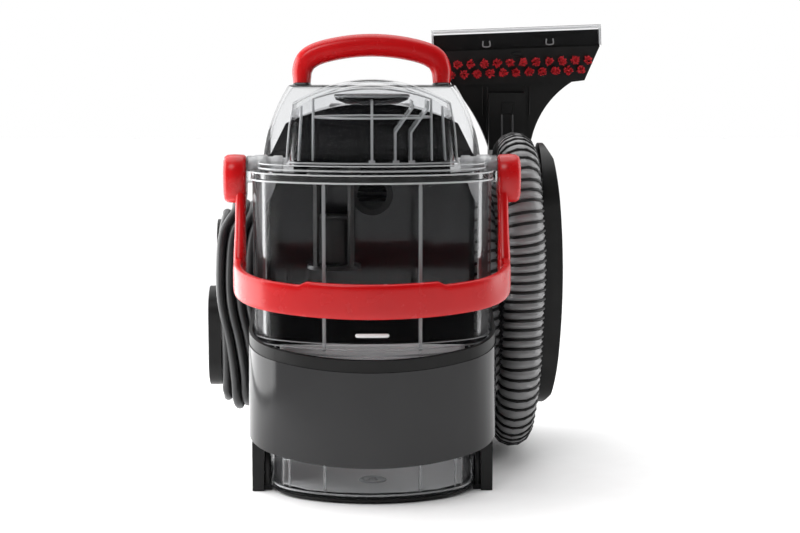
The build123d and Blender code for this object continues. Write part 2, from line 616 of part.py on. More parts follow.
def neck_spigot():
    """The grip's upright outlet, on which the tool's neck slides."""
    return disc(GRIP_X, NECK_Y, NECK_LOW + 1.6, 262, 12.4) - disc(GRIP_X, NECK_Y, 230, 270, 10)


def trigger():
    """Spray trigger on the grip's rear, hinged at its upper end."""
    lever = Pos(0, 20, 78) * Box(8, 7, 44)
    lever += Pos(0, 17.5, 96.2) * Box(8, 7, 9.6)
    return on_grip(lever - Pos(0, 18.5, 97) * Rot(0, 90, 0) * Cylinder(2 + FIT, 30))


def trigger_pin():
    return on_grip(Pos(0, 18.5, 97) * Rot(0, 90, 0) * Cylinder(2, 9))


def trigger_spring():
    return on_grip(Pos(0, 13.3, 64) * Rot(90, 0, 0) * (Cylinder(3, 5.6) - Cylinder(2, 6)))


def spray_valve():
    return on_grip(Pos(0, 4, 64) * Box(7, 12, 16) + Pos(0, 4, 84) * Cylinder(3, 26))



def tilted(shape):
    """The tool's head is turned a little about the neck's axis line."""
    return Pos(135, 0, 340) * Rot(0, -TOOL_TILT, 0) * Pos(-135, 0, -340) * shape


def stair_tool():
    """Fan-shaped suction head on an oval neck."""
    edges = [
        Line((57, 166, TOOL_TOP), (213, 166, TOOL_TOP)),
        Line((213, 166, TOOL_TOP), (213, 166, 345)),
        Line((213, 166, 345), (198, 166, 314)),
        Line((198, 166, 314), (186, 166, 313)),
        ThreePointArc((186, 166, 313), (163.5, 166, 294), (145, 166, 252)),
        Line((145, 166, 252), (107, 166, 252)),
        ThreePointArc((107, 166, 252), (95, 166, 283), (75, 166, 313)),
        Line((75, 166, 313), (57, 166, 345)),
        Line((57, 166, 345), (57, 166, TOOL_TOP)),
    ]
    head = tilted(extrude(make_face(edges), amount=16, dir=(0, 1, 0)))
    head += disc(GRIP_X, NECK_Y, 246, NECK_HIGH, 17)
    head += box(GRIP_X - 17, GRIP_X + 17, NECK_Y - 17, NECK_Y, 252, 305)
    head -= disc(GRIP_X, NECK_Y, 230, 275, 12.8)
    head -= disc(GRIP_X, NECK_Y, 274, 350, 6)
    head -= tilted(box(62, 208, 171, 177, 347, TOOL_TOP + 1))
    head -= box(GRIP_X - 5.3, GRIP_X + 5.3, NECK_Y - 18, NECK_Y - 12.9, 286, 296)
    return head


def tool_release_button():
    button = box(GRIP_X - 5, GRIP_X + 5, NECK_Y - 17.6, NECK_Y - 15.2, 286.3, 295.7)
    return button


def nozzle_window():
    """Clear front lip of the suction slot, with its brighter rolled top edge."""
    pane = box(56, 214, 161.5, 165.9, 346, TOOL_TOP + 2)
    lip = Pos(135, 163.7, TOOL_TOP + 2) * Rot(0, 90, 0) * Cylinder(2.4, 158)
    return tilted(pane + lip)


def bristle_strip():
    outline = [(59.5, 345.95), (210.5, 345.95), (197.5, 314.3), (76, 314.3)]
    return tilted(outline_xz(outline, 161, 165.95))


def bristle_tufts():
    """Two staggered rows of short tufts."""
    tufts = []
    for z, start in TUFT_ROWS:
        for k in range(11):
            tufts.append(tilted(rod_y(start + TUFT_STEP * k, 152.5, 160.95, z, 3.6)))
    return tufts


def spray_tip():
    return tilted(outline_yz([(160.9, 339.4), (156, 339.8), (156, 342), (160.9, 342.4)], 131, 139))


# ---- mains lead ---------------------------------------------------------------------
def upper_cord_hook():
    hook = rod_x(HANK_X0 - 0.5, -COLUMN_HALF - 0.05, HOOK_Y, HOOK_HIGH_Z, HOOK_R)
    return hook + rod_x(HANK_X0 - 3.5, HANK_X0 - 0.5, HOOK_Y, HOOK_HIGH_Z, HOOK_R + 2)


def lower_cord_hook():
    """Quick-release hook: a round post with a long oval plate that turns about X."""
    hook = rod_x(HANK_X0 - 0.5, -COLUMN_HALF - 3.4, HOOK_Y, HOOK_LOW_Z, HOOK_R)
    plate = stadium_x(HANK_X0 - 11, HANK_X0 - 0.5, HOOK_Y, 81, 122, 22)
    return hook + plate - rod_x(-90, -60, HOOK_Y, HOOK_LOW_Z, 5 + FIT)


def hook_stub():
    """Fixed stub on the column that the lower hook turns on."""
    stub = rod_x(-88, -COLUMN_HALF - 0.05, HOOK_Y, HOOK_LOW_Z, 5)
    return stub + rod_x(-COLUMN_HALF - 3, -COLUMN_HALF - 0.05, HOOK_Y, HOOK_LOW_Z, 12)


def cord_hank():
    ring = stadium_x(HANK_X0, HANK_X1, HOOK_Y, HANK_LOW_Z, HOOK_HIGH_Z, HANK_OUT)
    return ring - stadium_x(HANK_X0 - 1, HANK_X1 + 1, HOOK_Y, HANK_LOW_Z, HOOK_HIGH_Z, HANK_IN)



def strain_relief():
    """Tapered sleeve where the lead leaves the column."""
    cone = Pos(0, 0, 14) * Cone(6.5, 4.6, 28) + Pos(0, 0, -1) * Cylinder(5, 5)
    sleeve = Pos(-64.2, 60, 222) * Rot(0, -137, 0) * cone
    return sleeve & box(-140, -COLUMN_HALF - 0.05, 40, 90, 150, 260)


def plug():
    """Moulded plug that hangs behind the wound lead."""
    body = box(-99, -77, 53, 71, 74, 104)
    body = fillet(body.edges().filter_by(Axis.Z), 6)
    body += Pos(-88, 62, 108) * Cone(8, 4.6, 8)
    for x in (-95, -81):
        body += box(x - 3.2, x + 3.2, 59, 65, 56, 74)
    return body


PARTS = {
    "base_tray": base_tray, "front_skirt": front_skirt, "skirt_collar": skirt_collar,
    "rubber_feet": feet, "column_front_shell": column_front_shell,
    "column_rear_shell": column_rear_shell, "column_cap": column_cap,
    "shell_screws": shell_screws, "switch_block": switch_block, "duct_gasket": duct_gasket,
    "vacuum_motor": vacuum_motor, "motor_mount": motor_mount, "motor_shaft": motor_shaft,
    "impeller": impeller, "fan_housing": fan_housing, "water_pump": water_pump,
    "heater_block": heater_block, "dirty_tank": dirty_tank, "bail_pins": bail_pins,
    "bail": bail, "tank_lid": tank_lid, "lid_baffles": lid_baffles, "lid_gasket": lid_gasket,
    "float_cage": float_cage, "tank_float": tank_float, "clean_tank": clean_tank,
    "clean_tank_cap": clean_tank_cap, "cap_valve": cap_valve, "carry_handle": carry_handle,
    "hose_port_elbow": hose_port_elbow, "hose_rack_hub": hose_rack_hub,
    "hose_rack_flange": hose_rack_flange, "tool_clip": tool_clip, "hose_cuff": hose_cuff,
    "neck_spigot": neck_spigot, "trigger": trigger, "trigger_pin": trigger_pin,
    "trigger_spring": trigger_spring, "spray_valve": spray_valve, "stair_tool": stair_tool,
    "tool_release_button": tool_release_button, "nozzle_window": nozzle_window,
    "bristle_strip": bristle_strip, "bristle_tufts": bristle_tufts, "spray_tip": spray_tip,
    "upper_cord_hook": upper_cord_hook, "lower_cord_hook": lower_cord_hook,
    "hook_stub": hook_stub, "cord_hank": cord_hank, "strain_relief": strain_relief,
    "plug": plug,
}
for node, build in PARTS.items():
    save(node, build())
for node, x in zip(("power_button", "heat_button"), BUTTON_X):
    save(node, rocker(x))
for node, side in (("grip_left_shell", -1), ("grip_right_shell", 1)):
    save(node, grip_half(side))
save("hose", tube(hose_route(), HOSE_D))
save("cord_lead", tube(LEAD_ROUTE, CORD_D))
save("cord_tail", tube(TAIL_ROUTE, CORD_D))
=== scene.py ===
import json
import math
import random

import bmesh
import bpy
from mathutils import Matrix, Vector

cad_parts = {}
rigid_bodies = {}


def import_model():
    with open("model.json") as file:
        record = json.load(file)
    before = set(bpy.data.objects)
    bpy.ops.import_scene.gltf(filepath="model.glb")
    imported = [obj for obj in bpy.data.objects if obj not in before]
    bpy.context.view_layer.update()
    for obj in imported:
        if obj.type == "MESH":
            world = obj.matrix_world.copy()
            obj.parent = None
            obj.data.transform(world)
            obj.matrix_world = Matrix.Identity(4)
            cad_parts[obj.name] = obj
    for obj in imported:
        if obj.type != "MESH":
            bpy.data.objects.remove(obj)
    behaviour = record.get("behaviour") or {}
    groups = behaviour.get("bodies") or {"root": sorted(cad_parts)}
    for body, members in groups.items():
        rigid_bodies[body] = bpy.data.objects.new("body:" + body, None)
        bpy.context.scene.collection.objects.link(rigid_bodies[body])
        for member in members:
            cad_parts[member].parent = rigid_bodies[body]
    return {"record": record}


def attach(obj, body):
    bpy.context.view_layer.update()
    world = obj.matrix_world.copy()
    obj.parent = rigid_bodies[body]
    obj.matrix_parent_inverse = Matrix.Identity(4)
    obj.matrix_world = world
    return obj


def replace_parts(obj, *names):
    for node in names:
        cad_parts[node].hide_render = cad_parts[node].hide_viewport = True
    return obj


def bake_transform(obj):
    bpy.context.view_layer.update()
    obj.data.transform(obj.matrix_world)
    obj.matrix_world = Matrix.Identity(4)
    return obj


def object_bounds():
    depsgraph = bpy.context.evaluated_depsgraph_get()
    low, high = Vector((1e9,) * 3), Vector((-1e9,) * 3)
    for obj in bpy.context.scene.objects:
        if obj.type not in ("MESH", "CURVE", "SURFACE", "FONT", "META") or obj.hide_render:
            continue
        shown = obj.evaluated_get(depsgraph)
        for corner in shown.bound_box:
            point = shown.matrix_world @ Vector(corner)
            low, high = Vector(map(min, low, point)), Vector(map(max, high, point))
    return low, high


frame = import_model()
CAD_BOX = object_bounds()

# A spot extractor: clear dirty tank in a glossy skirt, red bail, black motor column,
# domed clean tank with a red carry handle, ribbed hose on a rack, wound mains lead.
# Metres, in the frame's own axes: X right, Y back, Z up.

MM = 0.001
HANDS = ((-1, "left"), (1, "right"))


# ---- materials ----------------------------------------------------------------------
def new_material(name):
    """An empty node material with its output and a Principled shader joined to it."""
    material = bpy.data.materials.new(name)
    material.use_nodes = True
    tree = material.node_tree
    tree.nodes.clear()
    output = tree.nodes.new("ShaderNodeOutputMaterial")
    shader = tree.nodes.new("ShaderNodeBsdfPrincipled")
    tree.links.new(shader.outputs["BSDF"], output.inputs["Surface"])
    return material, tree, output, shader


def noise(tree, scale, detail=3.0, stretch=(1, 1, 1)):
    """Noise in object space, with scale in features a metre."""
    place = tree.nodes.new("ShaderNodeTexCoord")
    mapping = tree.nodes.new("ShaderNodeMapping")
    mapping.inputs["Scale"].default_value = stretch
    texture = tree.nodes.new("ShaderNodeTexNoise")
    texture.inputs["Scale"].default_value = scale
    texture.inputs["Detail"].default_value = detail
    tree.links.new(place.outputs["Object"], mapping.inputs["Vector"])
    tree.links.new(mapping.outputs["Vector"], texture.inputs["Vector"])
    return texture.outputs["Fac"]


def spread(tree, value, low, high, start=0.35, stop=0.65):
    """Map a noise value onto low..high."""
    node = tree.nodes.new("ShaderNodeMapRange")
    node.inputs["From Min"].default_value = start
    node.inputs["From Max"].default_value = stop
    node.inputs["To Min"].default_value = low
    node.inputs["To Max"].default_value = high
    tree.links.new(value, node.inputs["Value"])
    return node.outputs["Result"]


def grain(tree, shader, scale, height, detail=2.0, stretch=(1, 1, 1)):
    """A fine bump, height in metres."""
    bump = tree.nodes.new("ShaderNodeBump")
    bump.inputs["Strength"].default_value = 1.0
    bump.inputs["Distance"].default_value = height
    tree.links.new(noise(tree, scale, detail, stretch), bump.inputs["Height"])
    tree.links.new(bump.outputs["Normal"], shader.inputs["Normal"])


def tint(tree, shader, dark, light, scale):
    """Colour that drifts between two close shades."""
    mix = tree.nodes.new("ShaderNodeMix")
    mix.data_type = "RGBA"
    mix.inputs["A"].default_value = (*dark, 1)
    mix.inputs["B"].default_value = (*light, 1)
    tree.links.new(spread(tree, noise(tree, scale), 0, 1), mix.inputs["Factor"])
    tree.links.new(mix.outputs["Result"], shader.inputs["Base Color"])


def plastic(name, dark, light, rough, grain_scale, grain_height, shine=0.5, metallic=0.0,
            stretch=(1, 1, 1)):
    """Opaque moulded stuff: its colour and its gloss drift a little over a fine grain."""
    material, tree, _, shader = new_material(name)
    tint(tree, shader, dark, light, 38)
    tree.links.new(spread(tree, noise(tree, 90), rough[0], rough[1]),
                   shader.inputs["Roughness"])
    shader.inputs["Specular IOR Level"].default_value = shine
    shader.inputs["Metallic"].default_value = metallic
    grain(tree, shader, grain_scale, grain_height, stretch=stretch)
    return material


GLANCE = 0.16


def clear(name, through, haze, rough, body, ior=1.55, edge=0.9):
    """Clear moulded plastic: see-through face on, mirror-like at a glance, faint haze."""
    material, tree, output, shader = new_material(name)
    shader.inputs["Base Color"].default_value = (*body, 1)
    tree.links.new(spread(tree, noise(tree, 60), rough, rough * 2.2),
                   shader.inputs["Roughness"])
    shader.inputs["IOR"].default_value = ior
    open_ = tree.nodes.new("ShaderNodeBsdfTransparent")
    tree.links.new(spread_colour(tree, through), open_.inputs["Color"])
    fresnel = tree.nodes.new("ShaderNodeLayerWeight")
    fresnel.inputs["Blend"].default_value = GLANCE
    factor = spread(tree, fresnel.outputs["Fresnel"], haze, edge, 0.0, 1.0)
    mix = tree.nodes.new("ShaderNodeMixShader")
    tree.links.new(factor, mix.inputs["Fac"])
    tree.links.new(open_.outputs["BSDF"], mix.inputs[1])
    tree.links.new(shader.outputs["BSDF"], mix.inputs[2])
    tree.links.new(mix.outputs["Shader"], output.inputs["Surface"])
    grain(tree, shader, 18, 0.00003, 1.0)
    return material


def spread_colour(tree, colour):
    """The colour with a faint cloudiness, as moulded plastic has."""
    mix = tree.nodes.new("ShaderNodeMix")
    mix.data_type = "RGBA"
    mix.inputs["A"].default_value = (*[0.985 * c for c in colour], 1)
    mix.inputs["B"].default_value = (*colour, 1)
    tree.links.new(spread(tree, noise(tree, 30), 0, 1), mix.inputs["Factor"])
    return mix.outputs["Result"]


RED = plastic("red_plastic", (0.52, 0.003, 0.005), (0.55, 0.004, 0.006), (0.24, 0.28),
              900, 0.000002, shine=0.42)
CHARCOAL = plastic("gloss_charcoal", (0.009, 0.009, 0.010), (0.011, 0.011, 0.012),
                   (0.09, 0.11), 160, 0.000002, shine=0.42)
BLACK = plastic("black_plastic", (0.005, 0.005, 0.005), (0.009, 0.009, 0.009),
                (0.34, 0.42), 1900, 0.00003, shine=0.25)
# A mid-dark grey, lighter than the black plastic: painted sheen, standing for the grey reflections
# on thin ribs.
SHEEN_GREY = plastic("painted_sheen_grey", (0.045, 0.045, 0.047), (0.060, 0.060, 0.062), (0.30, 0.38),
                1500, 0.00002)
GREY = plastic("grey_plastic", (0.16, 0.16, 0.165), (0.24, 0.24, 0.245), (0.4, 0.55),
               1500, 0.00004)
RUBBER = plastic("rubber", (0.010, 0.010, 0.010), (0.020, 0.020, 0.020), (0.55, 0.75),
                 1200, 0.00006)
LEAD = plastic("lead_sheath", (0.010, 0.010, 0.011), (0.022, 0.022, 0.023), (0.30, 0.42),
               900, 0.00003)
STEEL = plastic("steel", (0.42, 0.42, 0.44), (0.60, 0.60, 0.62), (0.22, 0.38), 700,
                0.00002, metallic=1.0, stretch=(1, 1, 12))
CAST = plastic("cast_metal", (0.34, 0.34, 0.35), (0.50, 0.50, 0.51), (0.4, 0.6), 600,
               0.00006, metallic=1.0)
NYLON = plastic("bristle_red", (0.62, 0.010, 0.020), (0.78, 0.02, 0.035), (0.4, 0.55),
                1600, 0.00004)
WHITE = plastic("fill_line", (0.80, 0.80, 0.80), (0.9, 0.9, 0.9), (0.4, 0.5), 900, 0.00001)
CLEAR = clear("clear_plastic", (0.97, 0.972, 0.975), 0.0, 0.03, (0.05, 0.05, 0.052), 2.4)
# The whitish, hazy rib finish is a painted highlight for the lit edges and ribs of clear plastic;
# REAR_EDGE is its darker copy, painted shade for ribs at the back.
RIB_HIGHLIGHT = clear("clear_rib", (0.95, 0.953, 0.955), 0.40, 0.06, body=(0.80, 0.81, 0.82))
REAR_EDGE = clear("clear_rib_shaded", (0.93, 0.933, 0.935), 0.30, 0.10, body=(0.30, 0.305, 0.31))
FROST = clear("clear_textured", (0.93, 0.93, 0.94), 0.85, 0.30, body=(0.88, 0.885, 0.89))
SMOKE = clear("smoke_hose", (0.66, 0.66, 0.67), 0.66, 0.10, body=(0.40, 0.40, 0.405))

SLOTS = {
    "red_plastic": RED, "gloss_charcoal": CHARCOAL, "black_plastic": BLACK,
    "clear_plastic": CLEAR, "smoke_hose": SMOKE, "cord_rubber": LEAD, "rubber": RUBBER,
    "grey_plastic": GREY, "steel": STEEL, "motor_metal": CAST, "bristle_red": NYLON,
}
for part in frame["record"]["subparts"]:
    node_mesh = bpy.data.objects[part["node"]].data
    node_mesh.materials.clear()
    node_mesh.materials.append(SLOTS[part["material_slot"]])
# The lid's baffles and the bail's pins take the whitish rib finish, a painted highlight.
for node in ("lid_baffles", "bail_pins"):
    bpy.data.objects[node].data.materials[0] = RIB_HIGHLIGHT


# ---- mesh helpers -------------------------------------------------------------------
def piece(name, verts, faces, material, body, smooth=True):
    """A mesh object in the given material that rides on a body, if named."""
    mesh = bpy.data.meshes.new(name)
    mesh.from_pydata([tuple(v) for v in verts], [], faces)
    mesh.validate()
    tidy = bmesh.new()
    tidy.from_mesh(mesh)
    bmesh.ops.recalc_face_normals(tidy, faces=tidy.faces)
    tidy.to_mesh(mesh)
    tidy.free()
    for polygon in mesh.polygons:
        polygon.use_smooth = smooth
    obj = bpy.data.objects.new(name, mesh)
    bpy.context.scene.collection.objects.link(obj)
    mesh.materials.append(material)
    if body:
        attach(obj, body)
    return obj


def grid_faces(rings, count, closed_rings=False):
    """Quads between rings of count points each; ends are capped unless they join."""
    faces = []
    last = rings if closed_rings else rings - 1
    for i in range(last):
        a, b = i * count, ((i + 1) % rings) * count
        for j in range(count):
            k = (j + 1) % count
            faces.append((a + j, a + k, b + k, b + j))
    if not closed_rings:
        faces.append(tuple(range(count - 1, -1, -1)))
        faces.append(tuple((rings - 1) * count + j for j in range(count)))
    return faces


def rounded(width, height, power=4.0, count=24):
    """A superellipse section, as (u, v) points."""
    points = []
    for i in range(count):
        a = 2 * math.pi * i / count
        c, s = math.cos(a), math.sin(a)
        points.append((math.copysign(abs(c) ** (2 / power), c) * width / 2,
                       math.copysign(abs(s) ** (2 / power), s) * height / 2))
    return points


def loft(name, stations, material, body, closed=False):
    """A skin over stations (centre, u axis, v axis, section points)."""
    verts = []
    for centre, u, v, section in stations:
        verts += [Vector(centre) + Vector(u) * a + Vector(v) * b for a, b in section]
    count = len(stations[0][3])
    return piece(name, verts, grid_faces(len(stations), count, closed), material, body)


def smooth_line(points, steps):
    """A smooth Catmull-Rom line through points, steps a span."""
    pts = [Vector(p) for p in points]
    pts = [2 * pts[0] - pts[1]] + pts + [2 * pts[-1] - pts[-2]]
    line = []
    for a, b, c, d in zip(pts, pts[1:], pts[2:], pts[3:]):
        for k in range(steps):
            t = k / steps
            line.append(0.5 * ((2 * b) + (c - a) * t + (2 * a - 5 * b + 4 * c - d) * t**2
                               + (3 * b - a - 3 * c + d) * t**3))
    return line + [pts[-2]]


def frames_along(line, up=(1, 0, 0)):
    """Tangent, side and up axes carried along a line without twist."""
    axes = []
    side = None
    for i, p in enumerate(line):
        tangent = (line[min(i + 1, len(line) - 1)] - line[max(i - 1, 0)]).normalized()
        side = Vector(up) if side is None else side
        side = (side - tangent * side.dot(tangent)).normalized()
        axes.append((tangent, side, tangent.cross(side)))
    return axes


def spline(name, points, bevel, material):
    """A NURBS line with the points as its control points."""
    curve = bpy.data.curves.new(name, "CURVE")
    curve.dimensions = "3D"
    curve.bevel_depth = bevel
    curve.bevel_resolution = 5
    curve.use_fill_caps = True
    curve.resolution_u = 8
    line = curve.splines.new("NURBS")
    line.points.add(len(points) - 1)
    for target, p in zip(line.points, points):
        target.co = (*p, 1)
    line.order_u = 3
    line.use_endpoint_u = True
    curve.materials.append(material)
    obj = bpy.data.objects.new(name, curve)
    bpy.context.scene.collection.objects.link(obj)
    return obj


def line_of(points):
    """Points read from the NURBS line of a route."""
    guide = spline("guide", points, 0.0, BLACK)
    mesh = bpy.data.meshes.new_from_object(guide)
    line = [v.co.copy() for v in mesh.vertices]
    bpy.data.objects.remove(guide, do_unlink=True)
    bpy.data.meshes.remove(mesh)
    return line


def even(line, step):
    """The same line with points step apart."""
    out, left = [line[0].copy()], step
    for a, b in zip(line, line[1:]):
        run = (b - a).length
        at = 0.0
        while run - at >= left:
            at += left
            out.append(a.lerp(b, at / run))
            left = step
        left -= run - at
    return out + [line[-1].copy()]


def length_of(line):
    """The length along a line's points."""
    return sum((b - a).length for a, b in zip(line, line[1:]))


# ---- camera, floor and light --------------------------------------------------------
LENS_MM, SENSOR_MM = 76.05, 36.0
CAMERA_PLACE = (0.0, -1.422, 0.3335)
CAMERA_TILT, CAMERA_TURN = 83.1, -0.95
FLOOR_HALF, FLOOR_GAP = 6, 0.0002
SUN_POWER, SUN_ANGLE = 1.9, 70

camera_data = bpy.data.cameras.new("camera")
camera_data.lens = LENS_MM
camera_data.sensor_width = SENSOR_MM
camera = bpy.data.objects.new("camera", camera_data)
camera.location = CAMERA_PLACE
camera.rotation_euler = (math.radians(CAMERA_TILT), 0, math.radians(CAMERA_TURN))
bpy.context.scene.collection.objects.link(camera)
bpy.context.scene.camera = camera

floor_mesh = bpy.data.meshes.new("floor")
floor_mesh.from_pydata([(FLOOR_HALF * x, FLOOR_HALF * y, 0)
                        for x, y in ((-1, -1), (1, -1), (1, 1), (-1, 1))], [], [(0, 1, 2, 3)])
floor = bpy.data.objects.new("floor", floor_mesh)
floor.location.z = CAD_BOX[0][2] - FLOOR_GAP
bpy.context.scene.collection.objects.link(floor)
floor_mesh.materials.append(plastic("floor", (0.95, 0.95, 0.95), (0.97, 0.97, 0.97),
                                    (0.6, 0.7), 40, 0.00001, shine=0.2))


def softbox(name, place, target, size, power):
    """A rectangular light that the camera itself doesn't see."""
    data = bpy.data.lights.new(name, "AREA")
    data.shape = "RECTANGLE"
    data.size, data.size_y = size
    data.energy = power
    lamp = bpy.data.objects.new(name, data)
    lamp.location = place
    lamp.visible_camera = False
    lamp.rotation_euler = (Vector(target) - Vector(place)).to_track_quat("-Z", "Y").to_euler()
    bpy.context.scene.collection.objects.link(lamp)


softbox("left_box", (-0.44, 0.10, 0.28), (0.5, 0.10, 0.28), (0.78, 0.54), 5.5)
softbox("right_box", (0.85, 0.10, 0.40), (0, 0, 0.25), (0.5, 0.7), 2.5)
softbox("front_box", (-0.7, -1.7, 1.5), (0, 0, 0.2), (0.7, 0.7), 8)
sun = bpy.data.lights.new("overhead", "SUN")
sun.energy, sun.angle = SUN_POWER, math.radians(SUN_ANGLE)
overhead = bpy.data.objects.new("overhead", sun)
overhead.rotation_euler = (math.radians(-12), math.radians(-8), 0)
bpy.context.scene.collection.objects.link(overhead)


def studio_world():
    """A white room that is dim on the camera's side, and plain white where it is seen."""
    world = bpy.data.worlds.new("studio")
    bpy.context.scene.world = world
    world.use_nodes = True
    tree = world.node_tree
    tree.nodes.clear()
    place = tree.nodes.new("ShaderNodeTexCoord")
    split = tree.nodes.new("ShaderNodeSeparateXYZ")
    tree.links.new(place.outputs["Generated"], split.inputs["Vector"])
    room = spread(tree, split.outputs["Y"], 0.03, 0.9, -0.80, 0.65)
    paths = tree.nodes.new("ShaderNodeLightPath")
    seen = tree.nodes.new("ShaderNodeMix")
    seen.inputs["B"].default_value = 1.0
    tree.links.new(paths.outputs["Is Camera Ray"], seen.inputs["Factor"])
    tree.links.new(room, seen.inputs["A"])
    background = tree.nodes.new("ShaderNodeBackground")
    background.inputs["Color"].default_value = (1, 1, 1, 1)
    tree.links.new(seen.outputs["Result"], background.inputs["Strength"])
    output = tree.nodes.new("ShaderNodeOutputWorld")
    tree.links.new(background.outputs["Background"], output.inputs["Surface"])


studio_world()
bpy.context.scene.view_settings.view_transform = "Standard"


# ---- the suction hose ---------------------------------------------------------------
RIB_PITCH, WALL_R, WALL_HUMP = 0.0078, 0.0158, 0.0012
RIB_R, RIB_WIDTH, RIB_DEPTH = 0.0164, 0.0026, 0.0024
TUBE_SHIFT, TUBE_D = 0.004, 0.006
TURN_X, TURN_FRONT = (86, 121), (-20, -50)
TURN_BACK, TURN_TOP = (60.0, 73.0), (214.0, 257.0)


def hose_route():
    """Centreline from the port elbow, twice round the hub and up into the grip."""
    points = [(86, 59, 69), (86, 60, 100)]
    for k, (x, y_front, y_back, top) in enumerate(zip(TURN_X, TURN_FRONT, TURN_BACK, TURN_TOP)):
        y_mid = (y_front + y_back) / 2
        half = (y_back - y_front) / 2
        reach = half * 1.04
        xo = x + 2
        points += [
            (x, y_back, top - 88), (x, y_mid + reach, top - 44),
            (x, y_mid + 0.62 * half, top), (x, y_mid - 0.62 * half, top),
            (xo, y_mid - reach, top - 44), (xo + 3, y_front, top - 88),
        ]
        if k == 0:
            points += [(x + 4, y_front - 2, 78), (x + 9, y_front + 14, 36),
                       (x + 19, y_front + 52, 22), (x + 34, y_back, 40),
                       (x + 34, y_back + 12, 78), (x + 35, y_back + 12, 122)]
    points += [(124, -50, 124), (122, -52, 76), (118, -34, 34), (119, 10, 20), (122, 62, 22),
               (125, 101, 47), (126, 116, 88), (126, 121, 118)]
    return [tuple(MM * c for c in p) for p in points]


def ribbed_tube(name, line, pitch, radius, rib, material, around=28):
    """A tube whose wall rises under a helical rib."""
    axes = frames_along(line)
    verts = []
    travelled = 0.0
    for i, (p, (_, side, up)) in enumerate(zip(line, axes)):
        travelled += (p - line[i - 1]).length if i else 0.0
        for j in range(around):
            a = 2 * math.pi * j / around
            phase = (travelled / pitch - j / around) % 1.0
            hump = max(0.0, math.cos(2 * math.pi * (phase - 0.5))) ** 3
            r = radius + rib * hump
            verts.append(p + (side * math.cos(a) + up * math.sin(a)) * r)
    return piece(name, verts, grid_faces(len(line), around), material, "root")


hose_line = even(line_of(hose_route()), 0.0013)
hose = ribbed_tube("hose_wall", hose_line, RIB_PITCH, WALL_R, WALL_HUMP, SMOKE)


def helix(line, pitch, radius):
    """A spiral of the given radius round a line."""
    axes = frames_along(line)
    out, travelled = [], 0.0
    for i, (p, (_, side, up)) in enumerate(zip(line, axes)):
        travelled += (p - line[i - 1]).length if i else 0.0
        a = 2 * math.pi * travelled / pitch
        out.append(p + (side * math.cos(a) + up * math.sin(a)) * radius)
    return out


def sweep(name, line, section, material, body, up=(1, 0, 0)):
    """A section carried along a line, capped at both ends."""
    stations = [(p, s, u, section) for p, (_, s, u) in zip(line, frames_along(line, up))]
    return loft(name, stations, material, body)


rib_line = helix(even(line_of(hose_route()), 0.0006), RIB_PITCH, RIB_R)
hose_rib = sweep("hose_rib", rib_line, rounded(RIB_WIDTH, RIB_DEPTH, 2, 8), BLACK, "root")
solution_line = [p + Vector((TUBE_SHIFT, 0, 0)) for p in even(line_of(hose_route()), 0.006)]
sweep("solution_tube", solution_line[2:-2], rounded(TUBE_D, TUBE_D, 2, 12), GREY, "root")
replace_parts(hose, "hose")
[tuple(p) for p in even(hose_line, 0.005)]


# ---- the mains lead -----------------------------------------------------------------
HOOK_Y, HANK_LOW_Z, HOOK_HIGH_Z = 0.010, 0.075, 0.186
CORD_D, CORD_LENGTH = 0.0076, 5.0
EXIT = (-0.0835, 0.062, 0.201)
HANK_TURNS, LAYER_TURNS = 13, 7
OUTER_X, STRAND_STEP = -0.1225, 0.0078
LAYER_R, LAYER_STEP = 0.0205, 0.0082
SWELL = (0.002, 0.0135)
SWELL_TOP = (0.7, 0.25, 0, 0, 0, 0, 0, 0)


def cord_route():
    """Out of the sleeve, down into the hank, its turns, and down to the end of its tail."""
    dice = random.Random(7)
    points = [EXIT, (-0.097, 0.063, 0.184), (-0.104, 0.061, 0.160), (-0.105, 0.052, 0.137)]
    for k in range(HANK_TURNS):
        layer, column = divmod(k, LAYER_TURNS)
        column = LAYER_TURNS - 1 - column if layer else column
        x = OUTER_X + STRAND_STEP * column
        r = LAYER_R + LAYER_STEP * layer
        loose = dice.uniform(0.0, 0.0035)
        drop = dice.uniform(-0.006, 0.001)
        xs = [x + dice.uniform(-0.0012, 0.0012) for _ in range(16)]
        arc = [(math.cos(math.pi * (j + 0.5) / 8), math.sin(math.pi * (j + 0.5) / 8))
               for j in range(8)]
        for (c, s), xx in zip(arc, xs[:8]):
            points.append((xx, HOOK_Y + (r + loose) * c, HANK_LOW_Z + drop - (r + loose) * s))
        for part in (0.25, 0.5, 0.75):
            points.append((x - SWELL[layer] * math.sin(math.pi * part ** 1.6),
                           HOOK_Y - r - 0.5 * loose,
                           HANK_LOW_Z + (HOOK_HIGH_Z - HANK_LOW_Z) * part))
        for (c, s), xx, part in zip(arc, xs[8:], SWELL_TOP):
            points.append((xx - part * SWELL[layer], HOOK_Y - r * c, HOOK_HIGH_Z + r * s))
    points += [(-0.088, 0.0475, 0.176), (-0.088, 0.055, 0.160), (-0.088, 0.061, 0.138),
               (-0.088, 0.062, 0.112)]
    return points


cord = spline("mains_lead", cord_route(), CORD_D / 2, LEAD)
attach(cord, "root")
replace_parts(cord, "cord_hank", "cord_lead", "cord_tail")
print("lead length", length_of(line_of(cord_route())), "hose length", length_of(hose_line))


